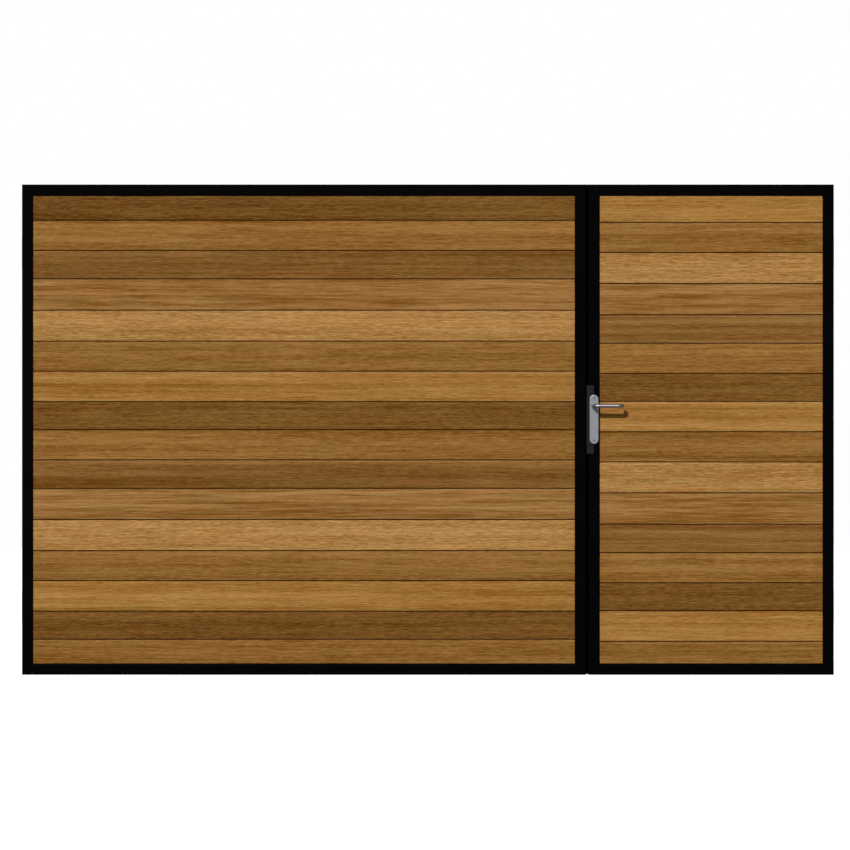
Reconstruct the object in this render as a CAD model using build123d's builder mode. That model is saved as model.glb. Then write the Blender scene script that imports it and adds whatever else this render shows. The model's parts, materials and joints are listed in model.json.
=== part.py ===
from build123d import *
import os

# Double garden gate: a wide and a narrow leaf of welded square tube, filled with tongue-and-groove
# boards. All sizes are in millimetres. The frame is +X along the gate from the left pier to the
# right one, -Y towards the outside, +Y towards the garden, and +Z up. The origin is the centre of
# the fixing holes of the wide leaf's lower hinge bracket, on the face of its pier.

# ------------------------------------------------------------------ leaves
WIDE_WIDTH = 2070.0
NARROW_WIDTH = 900.0
LEAF_HEIGHT = 1800.0
MEETING_GAP = 10.0
PIER_GAP = 3.0
TUBE = 40.0
TUBE_WALL = 2.0
TUBE_CORNER = 2.5
CUTTER_ROOM = 1.0

# ------------------------------------------------------------------ hinges
LOW_HINGE_ABOVE_EDGE = 250.0
HINGE_SPACING = 1300.0
PIN_BEHIND_LEAF = 42.0
PLATE_BEHIND_LEAF = 68.0
PIN_RADIUS = 8.0
RUNNING_GAP = 0.06
BRACKET_THICKNESS = 6.0
BRACKET_CORNER = 6.0
BRACKET_SIZE = (80.0, 120.0)
BRACKET_HOLES = (50.0, 90.0)
BRACKET_HOLE_RADIUS = 5.5
LUG_RADIUS = 13.0
LUG_THICKNESS = 12.0
EYE_LENGTH = 28.0
WASHER_THICKNESS = 1.9
WASHER_ROOM = 2.0
EYE_PLATE_SIZE = (36.0, 120.0)
EYE_PLATE_THICKNESS = 6.0
EYE_PLATE_CORNER = 4.0
EYE_PLATE_HOLES = (18.0, 90.0)
EYE_WEB = 20.0
EYE_BOLT_RADIUS = 4.0
EYE_BOLT_HEAD = (7.5, 5.3)
EYE_BOLT_LENGTH = 18.0
RIVET_NUT_RADIUS = 5.5
RIVET_NUT_LENGTH = 14.0
PIN_HEAD_RADIUS = 12.0
PIN_HEAD_HEIGHT = 6.0
PIN_HEAD_CHAMFER = 1.0
PIN_TAIL = 8.0
CLIP_THICKNESS = 1.2
CLIP_GROOVE_RADIUS = 6.8
CLIP_RADIUS = 11.0
CLIP_MOUTH = (8.0, 20.0)

# ------------------------------------------------------------------ boards
BOARD_COVERS = (103.0, 110.5, 104.5, 115.0, 113.5, 110.5, 112.0)
WIDE_FIRST_CUT = 91.4
NARROW_FIRST_CUT = 99.1
SHORTEST_LAST_CUT = 60.0
BOARD_THICKNESS = 19.0
BOARD_RECESS = 6.0
BOARD_JOINT = 1.0
BOARD_CHAMFER = 1.6
BOARD_END_GAP = 1.0
TONGUE = (6.0, 6.0)
GROOVE = (6.5, 6.8)
STOP_WIDTH = 20.0
STOP_THICKNESS = 3.0
STOP_CUT_GAP = 0.5
UPRIGHT_WIDTH = 30.0
UPRIGHT_WALL = 1.5
UPRIGHTS = 2
SCREW_RADIUS = 2.0
SCREW_HOLE_RADIUS = 2.2
SCREW_HEAD_RADIUS = 3.8
SCREW_HEAD_HEIGHT = 2.4
SCREW_DEPTH_IN_BOARD = 12.0
SCREW_FROM_FRAME = 12.0

# ------------------------------------------------------------------ meeting strip
STRIP_WIDTH = 40.0
STRIP_THICKNESS = 5.0
STRIP_RAISE = 1.3
STRIP_NOTCH = 188.0
STRIP_NOTCH_INSET = 1.0

# ------------------------------------------------------------------ lock and handles
BACKSET = 20.0
SPINDLE_ABOVE_EDGE = 987.0
PLATE_ABOVE_EDGE = 937.5
SPINDLE_SIZE = 8.0
HANDLE_PLATE_SIZE = (34.0, 181.0)
HANDLE_PLATE_THICKNESS = 8.0
HANDLE_PLATE_EASE = 2.5
HANDLE_SCREW_SPACING = 155.0
HANDLE_SCREW_LENGTHS = (15.0, 12.0)
LEVER_BAR_RADIUS = 7.0
LEVER_STAND_OFF = 38.0
LEVER_REACH = 103.0
LEVER_RETURN = 22.0
LEVER_BEND = 15.0
LEVER_COLLAR = (10.0, 10.0)
LEVER_COLLAR_CHAMFER = 1.5
LEVER_END_EASE = 2.5
LEVER_SPIGOT = (8.0, 6.0)
LEVER_END_GAP = 0.3
LEVER_SOCKET = 14.0
SPINDLE_WAY_RADIUS = 10.0
GUARD_SIZE = (26.0, 250.0)
GUARD_THICKNESS = 3.0
GUARD_LEFT_OF_STILE = 7.0
GUARD_EAR = (28.0, 157.0)
CASE_SIZE = (36.0, 18.0, 80.0)
CASE_WALL = 2.0
CASE_RISE = 5.0
FOREND_SIZE = (24.0, 138.0)
FOREND_THICKNESS = 3.0
FOREND_SCREW_SPACING = 120.0
FOREND_SCREW_LENGTH = 12.0
HUB_RADIUS = 8.5
HUB_SIDE_GAP = 0.2
TRUNNION_RADIUS = 7.5
FOLLOWER_ARM = (6.0, 20.0)
FOLLOWER_LEAN = 17.5
BOLT_WIDTH = 11.0
BOLT_LOW = 14.0
BOLT_HIGH = 28.0
BOLT_TAIL_LOW = 22.0
BOLT_THROW = 12.0
BOLT_HEAD_BACK = -12.0
BOLT_HOOK = (-2.1, 0.9)
BOLT_HOOK_LOW = 17.5
BOLT_CLEARANCE = 0.3
BOLT_NOSE = 1.5
SPRING_WIRE = 0.6
SPRING_RADIUS = 10.0
SPRING_PITCH = 1.5
SPRING_TURNS = 1.5
SPRING_GAP = 0.1
KEEP_SIZE = (30.0, 90.0)
KEEP_THICKNESS = 2.0
KEEP_SLOT = (13.0, 17.0)
KEEP_WALL_SLOT = (16.0, 22.0)
KEEP_SCREW_SPACING = 70.0
KEEP_SCREW_LENGTH = 8.0
SMALL_SCREW_RADIUS = 2.5
SMALL_HEAD_RADIUS = 4.6
SMALL_HEAD_TAPER = 45.0
DRIVE_SOCKET = (1.7, 2.0)

# ------------------------------------------------------------------ drop bolt
ROD_RADIUS = 8.0
ROD_LENGTH = 420.0
ROD_HANDLE = 70.0
ROD_BEND = 16.0
ROD_POINT_CHAMFER = 2.0
ROD_HANDLE_EASE = 2.5
DROP_TRAVEL = 110.0
GUIDE_SIDE = 24.0
GUIDE_HEIGHT = 30.0
GUIDE_ABOVE_EDGE = 50.0
COLLAR_RADIUS = 12.0
COLLAR_HEIGHT = 12.0
COLLAR_GAP = 0.3
BUSH_RADIUS = 11.5
BUSH_HEIGHT = 8.0

# ------------------------------------------------------------------ places worked out from them
LEAF_Y = -PLATE_BEHIND_LEAF
FRONT_Y = LEAF_Y - TUBE / 2
REAR_Y = LEAF_Y + TUBE / 2
PIN_Y = LEAF_Y + PIN_BEHIND_LEAF
Z_LOW = -LOW_HINGE_ABOVE_EDGE
Z_HIGH = Z_LOW + LEAF_HEIGHT
INNER_LOW = Z_LOW + TUBE
WALL_CUT = TUBE_WALL + CUTTER_ROOM
INNER_HIGH = Z_HIGH - TUBE
WIDE_LEFT = PIER_GAP
WIDE_RIGHT = WIDE_LEFT + WIDE_WIDTH
NARROW_LEFT = WIDE_RIGHT + MEETING_GAP
NARROW_RIGHT = NARROW_LEFT + NARROW_WIDTH
RIGHT_PIER = NARROW_RIGHT + PIER_GAP
LEFT_PIN_X = WIDE_LEFT + TUBE / 2
RIGHT_PIN_X = NARROW_RIGHT - TUBE / 2
HINGE_HEIGHTS = (0.0, HINGE_SPACING)
LUG_LOW = EYE_LENGTH / 2 + WASHER_ROOM
BOARD_FRONT = FRONT_Y + BOARD_RECESS
BOARD_REAR = BOARD_FRONT + BOARD_THICKNESS
BOARD_MIDDLE = (BOARD_FRONT + BOARD_REAR) / 2
UPRIGHT_DEPTH = REAR_Y - BOARD_REAR
SPINDLE_X = NARROW_LEFT + BACKSET
SPINDLE_Z = Z_LOW + SPINDLE_ABOVE_EDGE
PLATE_Z = Z_LOW + PLATE_ABOVE_EDGE
FRONT_PLATE_FACE = FRONT_Y - GUARD_THICKNESS - HANDLE_PLATE_THICKNESS
REAR_PLATE_FACE = REAR_Y + HANDLE_PLATE_THICKNESS
HANDLE_SCREW_HEIGHTS = (PLATE_Z + HANDLE_SCREW_SPACING / 2, PLATE_Z - HANDLE_SCREW_SPACING / 2)
CASE_LEFT = NARROW_LEFT
CASE_MIDDLE_X = CASE_LEFT + CASE_SIZE[0] / 2
CASE_Z = SPINDLE_Z + CASE_RISE
BOLT_MIDDLE_Z = SPINDLE_Z + (BOLT_LOW + BOLT_HIGH) / 2
ROD_X = WIDE_RIGHT - TUBE + GUIDE_SIDE / 2
ROD_Y = REAR_Y + GUIDE_SIDE / 2
LOW_GUIDE_Z = Z_LOW + GUIDE_ABOVE_EDGE
COLLAR_Z = LOW_GUIDE_Z + GUIDE_HEIGHT + COLLAR_GAP + DROP_TRAVEL
HIGH_GUIDE_Z = COLLAR_Z + COLLAR_HEIGHT + COLLAR_GAP


def save(part, name):
    """Label a finished piece and write it to its own file."""
    part.label = name
    export_step(part, f"parts/{name}.step")


def across(y):
    """The plane of the gate at depth y; a positive extrusion goes towards the outside."""
    return Plane.XZ.offset(-y)


# ================================================================== welded frames
def mitre(corner_x, corner_z, rising):
    """A plane at 45 degrees through a corner of a leaf, facing up."""
    return Plane(origin=(corner_x, LEAF_Y, corner_z), z_dir=(-1 if rising else 1, 0, 1))


def tube_section(plane, centre):
    """The rounded square ring that every frame tube is cut from, as a private sketch."""
    with BuildSketch(plane, mode=Mode.PRIVATE) as section:
        with Locations(centre):
            RectangleRounded(TUBE, TUBE, TUBE_CORNER)
            Rectangle(TUBE - 2 * TUBE_WALL, TUBE - 2 * TUBE_WALL, mode=Mode.SUBTRACT)
    return section.sketch


def stile(x_left, corner_x):
    """A vertical tube whose outer side, at corner_x, is the full height of the leaf."""
    outer_is_left = corner_x == x_left
    with BuildPart() as tube:
        extrude(tube_section(Plane.XY.offset(Z_LOW), (x_left + TUBE / 2, LEAF_Y)), amount=LEAF_HEIGHT)
        split(bisect_by=mitre(corner_x, Z_LOW, rising=outer_is_left), keep=Keep.TOP)
        split(bisect_by=mitre(corner_x, Z_HIGH, rising=not outer_is_left), keep=Keep.BOTTOM)
    return tube.part


def rail(x_left, x_right, z_edge, kept):
    """A horizontal tube whose outer side, at z_edge, is the full width of the leaf."""
    at_top = kept == Keep.TOP
    centre_z = z_edge - TUBE / 2 if at_top else z_edge + TUBE / 2
    with BuildPart() as tube:
        extrude(tube_section(Plane.YZ.offset(x_left), (LEAF_Y, centre_z)), amount=x_right - x_left)
        split(bisect_by=mitre(x_left, z_edge, rising=not at_top), keep=kept)
        split(bisect_by=mitre(x_right, z_edge, rising=at_top), keep=kept)
    return tube.part


def plain_holes(plane, points, radius, depth):
    """Round cutters that reach depth each way from a plane."""
    with BuildPart() as cutters:
        with BuildSketch(plane):
            with Locations(*points):
                Circle(radius)
        extrude(amount=depth, both=True)
    return cutters.part


def slot_cutter(x, width, height, z, depth):
    """A square-cornered cutter through a stile's gap-side wall at x."""
    with BuildPart() as cutter:
        with BuildSketch(Plane.YZ.offset(x)):
            with Locations((LEAF_Y, z)):
                Rectangle(width, height)
        extrude(amount=depth, both=True)
    return cutter.part


def eye_bolt_points(pin_x):
    """Where the eye plates of one leaf are bolted, as (x, z)."""
    half_x = EYE_PLATE_HOLES[0] / 2
    half_z = EYE_PLATE_HOLES[1] / 2
    return [
        (pin_x + dx, height + dz)
        for height in HINGE_HEIGHTS
        for dx in (-half_x, half_x)
        for dz in (-half_z, half_z)
    ]


def less(part, *cutters):
    """A piece with some cutters taken out of it."""
    with BuildPart() as cut:
        add(part)
        for cutter in cutters:
            add(cutter, mode=Mode.SUBTRACT)
    return cut.part


def countersunk(plane, length, points):
    """Countersunk screws whose heads lie flush in a plane and whose shanks run against its normal."""
    head_depth = SMALL_HEAD_RADIUS - SMALL_SCREW_RADIUS
    with BuildPart() as screws:
        with BuildSketch(plane):
            with Locations(*points):
                Circle(SMALL_HEAD_RADIUS)
        extrude(amount=-head_depth, taper=SMALL_HEAD_TAPER)
        with BuildSketch(plane):
            with Locations(*points):
                Circle(SMALL_SCREW_RADIUS)
        extrude(amount=-length)
    return screws.part


def socketed(screws, plane, points):
    """The same screws with a hexagon socket sunk in each head."""
    with BuildPart() as sockets:
        with BuildSketch(plane):
            with Locations(*points):
                RegularPolygon(DRIVE_SOCKET[0], 6)
        extrude(amount=-DRIVE_SOCKET[1])
    return less(screws, sockets.part)


forend_face = Plane(
    origin=(NARROW_LEFT - FOREND_THICKNESS, LEAF_Y, CASE_Z), x_dir=(0, 1, 0), z_dir=(-1, 0, 0)
)
keep_face = Plane(origin=(WIDE_RIGHT, LEAF_Y, BOLT_MIDDLE_Z), x_dir=(0, 1, 0), z_dir=(1, 0, 0))
forend_points = [(0, FOREND_SCREW_SPACING / 2), (0, -FOREND_SCREW_SPACING / 2)]
keep_points = [(0, KEEP_SCREW_SPACING / 2), (0, -KEEP_SCREW_SPACING / 2)]
forend_screws = countersunk(forend_face, FOREND_SCREW_LENGTH, forend_points)
keep_screws = countersunk(keep_face, KEEP_SCREW_LENGTH, keep_points)
front_handle_plane = Plane(origin=(SPINDLE_X, FRONT_PLATE_FACE, PLATE_Z), x_dir=(1, 0, 0), z_dir=(0, -1, 0))
rear_handle_plane = Plane(origin=(SPINDLE_X, REAR_PLATE_FACE, PLATE_Z), x_dir=(-1, 0, 0), z_dir=(0, 1, 0))
handle_points = [(0, HANDLE_SCREW_SPACING / 2), (0, -HANDLE_SCREW_SPACING / 2)]
front_handle_screws = countersunk(front_handle_plane, HANDLE_SCREW_LENGTHS[0], handle_points)
rear_handle_screws = countersunk(rear_handle_plane, HANDLE_SCREW_LENGTHS[1], handle_points)

wide_rivet_holes = plain_holes(across(REAR_Y), eye_bolt_points(LEFT_PIN_X), RIVET_NUT_RADIUS, WALL_CUT)
narrow_rivet_holes = plain_holes(across(REAR_Y), eye_bolt_points(RIGHT_PIN_X), RIVET_NUT_RADIUS, WALL_CUT)
spindle_way = plain_holes(across(LEAF_Y), [(SPINDLE_X, SPINDLE_Z)], SPINDLE_WAY_RADIUS, TUBE)
keep_way = slot_cutter(WIDE_RIGHT, KEEP_WALL_SLOT[0], KEEP_WALL_SLOT[1], BOLT_MIDDLE_Z, WALL_CUT)
case_way = slot_cutter(NARROW_LEFT, CASE_SIZE[1], CASE_SIZE[2], CASE_Z, WALL_CUT)

os.makedirs("parts", exist_ok=True)

save(less(stile(WIDE_LEFT, WIDE_LEFT), wide_rivet_holes), "wide_hinge_stile")
save(less(stile(WIDE_RIGHT - TUBE, WIDE_RIGHT), keep_way, keep_screws), "wide_meeting_stile")
save(rail(WIDE_LEFT, WIDE_RIGHT, Z_HIGH, Keep.TOP), "wide_top_rail")
save(rail(WIDE_LEFT, WIDE_RIGHT, Z_LOW, Keep.BOTTOM), "wide_bottom_rail")
save(
    less(
        stile(NARROW_LEFT, NARROW_LEFT),
        case_way,
        spindle_way,
        forend_screws,
        front_handle_screws,
        rear_handle_screws,
    ),
    "narrow_meeting_stile",
)
save(less(stile(NARROW_RIGHT - TUBE, NARROW_RIGHT), narrow_rivet_holes), "narrow_hinge_stile")
save(rail(NARROW_LEFT, NARROW_RIGHT, Z_HIGH, Keep.TOP), "narrow_top_rail")
save(rail(NARROW_LEFT, NARROW_RIGHT, Z_LOW, Keep.BOTTOM), "narrow_bottom_rail")


# ================================================================== boards, their stops and screws
def board_joints(first_cut, covers):
    """The heights of the joints between boards, from the top rail down to the bottom rail."""
    joints = [INNER_HIGH, INNER_HIGH - first_cut]
    while joints[-1] - covers[(len(joints) - 1) % len(covers)] > INNER_LOW + SHORTEST_LAST_CUT:
        joints.append(joints[-1] - covers[(len(joints) - 1) % len(covers)])
    return joints + [INNER_LOW]


def upright_centres(x_left, x_right, count):
    """The middles of evenly spaced uprights between two frame edges."""
    pitch = (x_right - x_left) / (count + 1)
    return [x_left + pitch * (turn + 1) for turn in range(count)]


def board_nodes(leaf, x_left, x_right, joints, uprights):
    """Two boards to a node, each with its tongue up, its groove down and its pilot holes."""
    pilots_x = [x_left + SCREW_FROM_FRAME, x_right - SCREW_FROM_FRAME] + uprights
    for first in range(0, len(joints) - 1, 2):
        with BuildPart() as boards:
            for top, bottom in zip(joints[first : first + 2], joints[first + 1 : first + 3]):
                low = bottom + BOARD_JOINT / 2
                high = top - BOARD_JOINT / 2
                with BuildSketch(Plane.YZ.offset(x_left + BOARD_END_GAP)) as section:
                    with Locations((BOARD_MIDDLE, (low + high) / 2)):
                        Rectangle(BOARD_THICKNESS, high - low)
                    chamfer(section.vertices().group_by(Axis.X)[0], BOARD_CHAMFER)
                    if top != INNER_HIGH:
                        with Locations((BOARD_MIDDLE, high)):
                            Rectangle(TONGUE[0], 2 * TONGUE[1])
                    if bottom != INNER_LOW:
                        with Locations((BOARD_MIDDLE, low)):
                            Rectangle(GROOVE[0], 2 * GROOVE[1], mode=Mode.SUBTRACT)
                extrude(amount=x_right - x_left - 2 * BOARD_END_GAP)
                with BuildSketch(across(BOARD_REAR)):
                    with Locations(*[(x, (low + high) / 2) for x in pilots_x]):
                        Circle(SCREW_RADIUS)
                extrude(amount=SCREW_DEPTH_IN_BOARD, mode=Mode.SUBTRACT)
        save(boards.part, f"{leaf}_boards_{first + 1:02d}_{first + 2:02d}")


def board_stops(x_left, x_right, joints, uprights):
    """Angle bars welded inside the frame behind the boards, cut to fit between the uprights."""
    middles = [(top + bottom) / 2 for top, bottom in zip(joints, joints[1:])]
    edges = [x_left + STOP_WIDTH + STOP_CUT_GAP]
    for centre in uprights:
        edges += [centre - UPRIGHT_WIDTH / 2 - STOP_CUT_GAP, centre + UPRIGHT_WIDTH / 2 + STOP_CUT_GAP]
    edges.append(x_right - STOP_WIDTH - STOP_CUT_GAP)
    with BuildPart() as stops:
        for side_x, inward in ((x_left, 1), (x_right, -1)):
            with BuildSketch(Plane.XY.offset(INNER_LOW)):
                with Locations((side_x + inward * STOP_WIDTH / 2, BOARD_REAR + STOP_THICKNESS / 2)):
                    Rectangle(STOP_WIDTH, STOP_THICKNESS)
                with Locations((side_x + inward * STOP_THICKNESS / 2, (BOARD_REAR + REAR_Y) / 2)):
                    Rectangle(STOP_THICKNESS, UPRIGHT_DEPTH)
            extrude(amount=INNER_HIGH - INNER_LOW)
            with BuildSketch(across(BOARD_REAR)):
                with Locations(*[(side_x + inward * SCREW_FROM_FRAME, z) for z in middles]):
                    Circle(SCREW_HOLE_RADIUS)
            extrude(amount=-STOP_THICKNESS, mode=Mode.SUBTRACT)
        for left, right in zip(edges[0::2], edges[1::2]):
            for side_z, inward in ((INNER_LOW, 1), (INNER_HIGH, -1)):
                with BuildSketch(Plane.YZ.offset(left)):
                    with Locations((BOARD_REAR + STOP_THICKNESS / 2, side_z + inward * STOP_WIDTH / 2)):
                        Rectangle(STOP_THICKNESS, STOP_WIDTH)
                    with Locations(((BOARD_REAR + REAR_Y) / 2, side_z + inward * STOP_THICKNESS / 2)):
                        Rectangle(UPRIGHT_DEPTH, STOP_THICKNESS)
                extrude(amount=right - left)
    return stops.part


def board_screws(x_left, x_right, joints, uprights):
    """Pan-head screws into every board: from the side stops, and right through the uprights."""
    heads = [(x_left + SCREW_FROM_FRAME, BOARD_REAR + STOP_THICKNESS)]
    heads.append((x_right - SCREW_FROM_FRAME, BOARD_REAR + STOP_THICKNESS))
    heads += [(centre, REAR_Y) for centre in uprights]
    middles = [(top + bottom) / 2 for top, bottom in zip(joints, joints[1:])]
    with BuildPart() as screws:
        for x, seat_y in heads:
            points = [(x, z) for z in middles]
            with BuildSketch(across(seat_y)):
                with Locations(*points):
                    Circle(SCREW_HEAD_RADIUS)
            extrude(amount=-SCREW_HEAD_HEIGHT)
            with BuildSketch(across(seat_y)):
                with Locations(*points):
                    Circle(SCREW_RADIUS)
            extrude(amount=seat_y - BOARD_REAR + SCREW_DEPTH_IN_BOARD)
    return screws.part


wide_joints = board_joints(WIDE_FIRST_CUT, BOARD_COVERS)
narrow_joints = board_joints(NARROW_FIRST_CUT, BOARD_COVERS[::-1])
wide_inner = (WIDE_LEFT + TUBE, WIDE_RIGHT - TUBE)
narrow_inner = (NARROW_LEFT + TUBE, NARROW_RIGHT - TUBE)
wide_upright_x = upright_centres(*wide_inner, UPRIGHTS)

board_nodes("wide", *wide_inner, wide_joints, wide_upright_x)
board_nodes("narrow", *narrow_inner, narrow_joints, [])
save(board_stops(*wide_inner, wide_joints, wide_upright_x), "wide_board_stops")
save(board_stops(*narrow_inner, narrow_joints, []), "narrow_board_stops")
save(board_screws(*wide_inner, wide_joints, wide_upright_x), "wide_board_screws")
save(board_screws(*narrow_inner, narrow_joints, []), "narrow_board_screws")

with BuildPart() as uprights:
    with BuildSketch(Plane.XY.offset(INNER_LOW)):
        with Locations(*[(x, (BOARD_REAR + REAR_Y) / 2) for x in wide_upright_x]):
            Rectangle(UPRIGHT_WIDTH, UPRIGHT_DEPTH)
            Rectangle(
                UPRIGHT_WIDTH - 2 * UPRIGHT_WALL, UPRIGHT_DEPTH - 2 * UPRIGHT_WALL, mode=Mode.SUBTRACT
            )
    extrude(amount=INNER_HIGH - INNER_LOW)
    with BuildSketch(across(REAR_Y)):
        with Locations(
            *[(x, (top + low) / 2) for x in wide_upright_x for top, low in zip(wide_joints, wide_joints[1:])]
        ):
            Circle(SCREW_HOLE_RADIUS)
    extrude(amount=UPRIGHT_DEPTH, mode=Mode.SUBTRACT)
save(uprights.part, "wide_uprights")


# ================================================================== hinges
def hinge_bracket(pier_x, inward, height):
    """A plate on the pier with two lugs, between which the leaf's eye turns."""
    pin_x = LEFT_PIN_X if inward > 0 else RIGHT_PIN_X
    lug_root = pier_x + inward * BRACKET_THICKNESS
    with BuildPart() as bracket:
        with BuildSketch(Plane.YZ.offset(pier_x)):
            with Locations((0, height)):
                RectangleRounded(*BRACKET_SIZE, BRACKET_CORNER)
                with GridLocations(*BRACKET_HOLES, 2, 2):
                    Circle(BRACKET_HOLE_RADIUS, mode=Mode.SUBTRACT)
        extrude(amount=inward * BRACKET_THICKNESS)
        for lug_z in (height + LUG_LOW, height - LUG_LOW - LUG_THICKNESS):
            with BuildSketch(Plane.XY.offset(lug_z)):
                with Locations(((lug_root + pin_x) / 2, PIN_Y)):
                    Rectangle(abs(pin_x - lug_root), 2 * LUG_RADIUS)
                with Locations((pin_x, PIN_Y)):
                    Circle(LUG_RADIUS)
                    Circle(PIN_RADIUS + RUNNING_GAP, mode=Mode.SUBTRACT)
            extrude(amount=LUG_THICKNESS)
    return bracket.part


def hinge_eyes(pin_x):
    """The plates bolted to a leaf's stile, each with its eye for the pin."""
    plate_face = REAR_Y + EYE_PLATE_THICKNESS
    with BuildPart() as eyes:
        for height in HINGE_HEIGHTS:
            with BuildSketch(across(REAR_Y)):
                with Locations((pin_x, height)):
                    RectangleRounded(*EYE_PLATE_SIZE, EYE_PLATE_CORNER)
                    with GridLocations(*EYE_PLATE_HOLES, 2, 2):
                        Circle(EYE_BOLT_RADIUS, mode=Mode.SUBTRACT)
            extrude(amount=-EYE_PLATE_THICKNESS)
            with BuildSketch(Plane.XY.offset(height - EYE_LENGTH / 2)):
                with Locations((pin_x, (plate_face + PIN_Y) / 2)):
                    Rectangle(EYE_WEB, PIN_Y - plate_face)
                with Locations((pin_x, PIN_Y)):
                    Circle(LUG_RADIUS)
                    Circle(PIN_RADIUS + RUNNING_GAP, mode=Mode.SUBTRACT)
            extrude(amount=EYE_LENGTH)
    return eyes.part


def eye_bolts(pin_x):
    """Hexagon bolts through the eye plates, and the rivet nuts in the stile that take them."""
    points = eye_bolt_points(pin_x)
    with BuildPart() as bolts:
        with BuildSketch(across(REAR_Y + EYE_PLATE_THICKNESS)):
            with Locations(*points):
                RegularPolygon(EYE_BOLT_HEAD[0], 6)
        extrude(amount=-EYE_BOLT_HEAD[1])
        with BuildSketch(across(REAR_Y + EYE_PLATE_THICKNESS)):
            with Locations(*points):
                Circle(EYE_BOLT_RADIUS)
        extrude(amount=EYE_BOLT_LENGTH)
    with BuildPart() as nuts:
        with BuildSketch(across(REAR_Y)):
            with Locations(*points):
                Circle(RIVET_NUT_RADIUS)
                Circle(EYE_BOLT_RADIUS, mode=Mode.SUBTRACT)
        extrude(amount=RIVET_NUT_LENGTH)
    return Compound(children=[*bolts.part.solids(), *nuts.part.solids()])


HINGE_POINTS = [(x, PIN_Y, z) for x in (LEFT_PIN_X, RIGHT_PIN_X) for z in HINGE_HEIGHTS]
PIN_TOP = LUG_LOW + LUG_THICKNESS
CLIP_TOP = -PIN_TOP - WASHER_ROOM

save(hinge_bracket(0.0, 1, 0.0), "wide_lower_bracket")
save(hinge_bracket(0.0, 1, HINGE_SPACING), "wide_upper_bracket")
save(hinge_bracket(RIGHT_PIER, -1, 0.0), "narrow_lower_bracket")
save(hinge_bracket(RIGHT_PIER, -1, HINGE_SPACING), "narrow_upper_bracket")
save(hinge_eyes(LEFT_PIN_X), "wide_hinge_eyes")
save(hinge_eyes(RIGHT_PIN_X), "narrow_hinge_eyes")
save(eye_bolts(LEFT_PIN_X), "wide_eye_bolts")
save(eye_bolts(RIGHT_PIN_X), "narrow_eye_bolts")

with BuildPart() as pins:
    with Locations(*HINGE_POINTS):
        with Locations((0, 0, -PIN_TOP - PIN_TAIL)):
            Cylinder(PIN_RADIUS, 2 * PIN_TOP + PIN_TAIL, align=(Align.CENTER, Align.CENTER, Align.MIN))
        with Locations((0, 0, PIN_TOP)):
            Cylinder(PIN_HEAD_RADIUS, PIN_HEAD_HEIGHT, align=(Align.CENTER, Align.CENTER, Align.MIN))
    for point in HINGE_POINTS:
        with BuildSketch(Plane.XY.offset(point[2] + CLIP_TOP)):
            with Locations(point[:2]):
                Circle(PIN_RADIUS + CUTTER_ROOM)
                Circle(CLIP_GROOVE_RADIUS, mode=Mode.SUBTRACT)
        extrude(amount=-CLIP_THICKNESS, mode=Mode.SUBTRACT)
    heads = pins.edges().filter_by(GeomType.CIRCLE).filter_by(lambda edge: edge.radius == PIN_HEAD_RADIUS)
    chamfer(heads, PIN_HEAD_CHAMFER)
save(pins.part, "hinge_pins")

with BuildPart() as washers:
    for point in HINGE_POINTS:
        for washer_z in (-LUG_LOW, LUG_LOW - WASHER_THICKNESS):
            with BuildSketch(Plane.XY.offset(point[2] + washer_z)):
                with Locations(point[:2]):
                    Circle(LUG_RADIUS)
                    Circle(PIN_RADIUS + RUNNING_GAP, mode=Mode.SUBTRACT)
            extrude(amount=WASHER_THICKNESS)
save(washers.part, "hinge_washers")

with BuildPart() as clips:
    for point in HINGE_POINTS:
        with BuildSketch(Plane.XY.offset(point[2] + CLIP_TOP)):
            with Locations(point[:2]):
                Circle(CLIP_RADIUS)
                Circle(CLIP_GROOVE_RADIUS, mode=Mode.SUBTRACT)
            with Locations((point[0], point[1] + CLIP_MOUTH[1] / 2)):
                Rectangle(*CLIP_MOUTH, mode=Mode.SUBTRACT)
        extrude(amount=-CLIP_THICKNESS)
save(clips.part, "hinge_clips")


# ================================================================== meeting strip
with BuildPart() as strip:
    strip_x = WIDE_RIGHT + MEETING_GAP / 2
    with BuildSketch(across(REAR_Y)):
        with Locations((strip_x, (Z_LOW + Z_HIGH) / 2 + STRIP_RAISE)):
            Rectangle(STRIP_WIDTH, LEAF_HEIGHT)
        with Locations((NARROW_LEFT + STRIP_WIDTH / 2 + STRIP_NOTCH_INSET, PLATE_Z)):
            Rectangle(STRIP_WIDTH, STRIP_NOTCH, mode=Mode.SUBTRACT)
    extrude(amount=-STRIP_THICKNESS)
save(strip.part, "stop_strip")


# ================================================================== lock
with BuildPart() as guard:
    with BuildSketch(across(FRONT_Y)):
        with Locations((NARROW_LEFT - GUARD_LEFT_OF_STILE + GUARD_SIZE[0] / 2, PLATE_Z)):
            Rectangle(*GUARD_SIZE)
        with Locations((SPINDLE_X, PLATE_Z)):
            Rectangle(*GUARD_EAR)
        with Locations((SPINDLE_X, SPINDLE_Z)):
            Circle(SPINDLE_WAY_RADIUS, mode=Mode.SUBTRACT)
    extrude(amount=GUARD_THICKNESS)
save(less(guard.part, front_handle_screws), "latch_guard")

bolt_hole = (BOLT_WIDTH + 2 * BOLT_CLEARANCE, BOLT_HIGH - BOLT_LOW + 2 * BOLT_CLEARANCE)
with BuildPart() as forend:
    with BuildSketch(Plane.YZ.offset(NARROW_LEFT)):
        with Locations((LEAF_Y, CASE_Z)):
            Rectangle(*FOREND_SIZE)
        with Locations((LEAF_Y, BOLT_MIDDLE_Z)):
            Rectangle(*bolt_hole, mode=Mode.SUBTRACT)
    extrude(amount=-FOREND_THICKNESS)
save(less(forend.part, forend_screws), "lock_forend")
save(socketed(forend_screws, forend_face, forend_points), "forend_screws")

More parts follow.
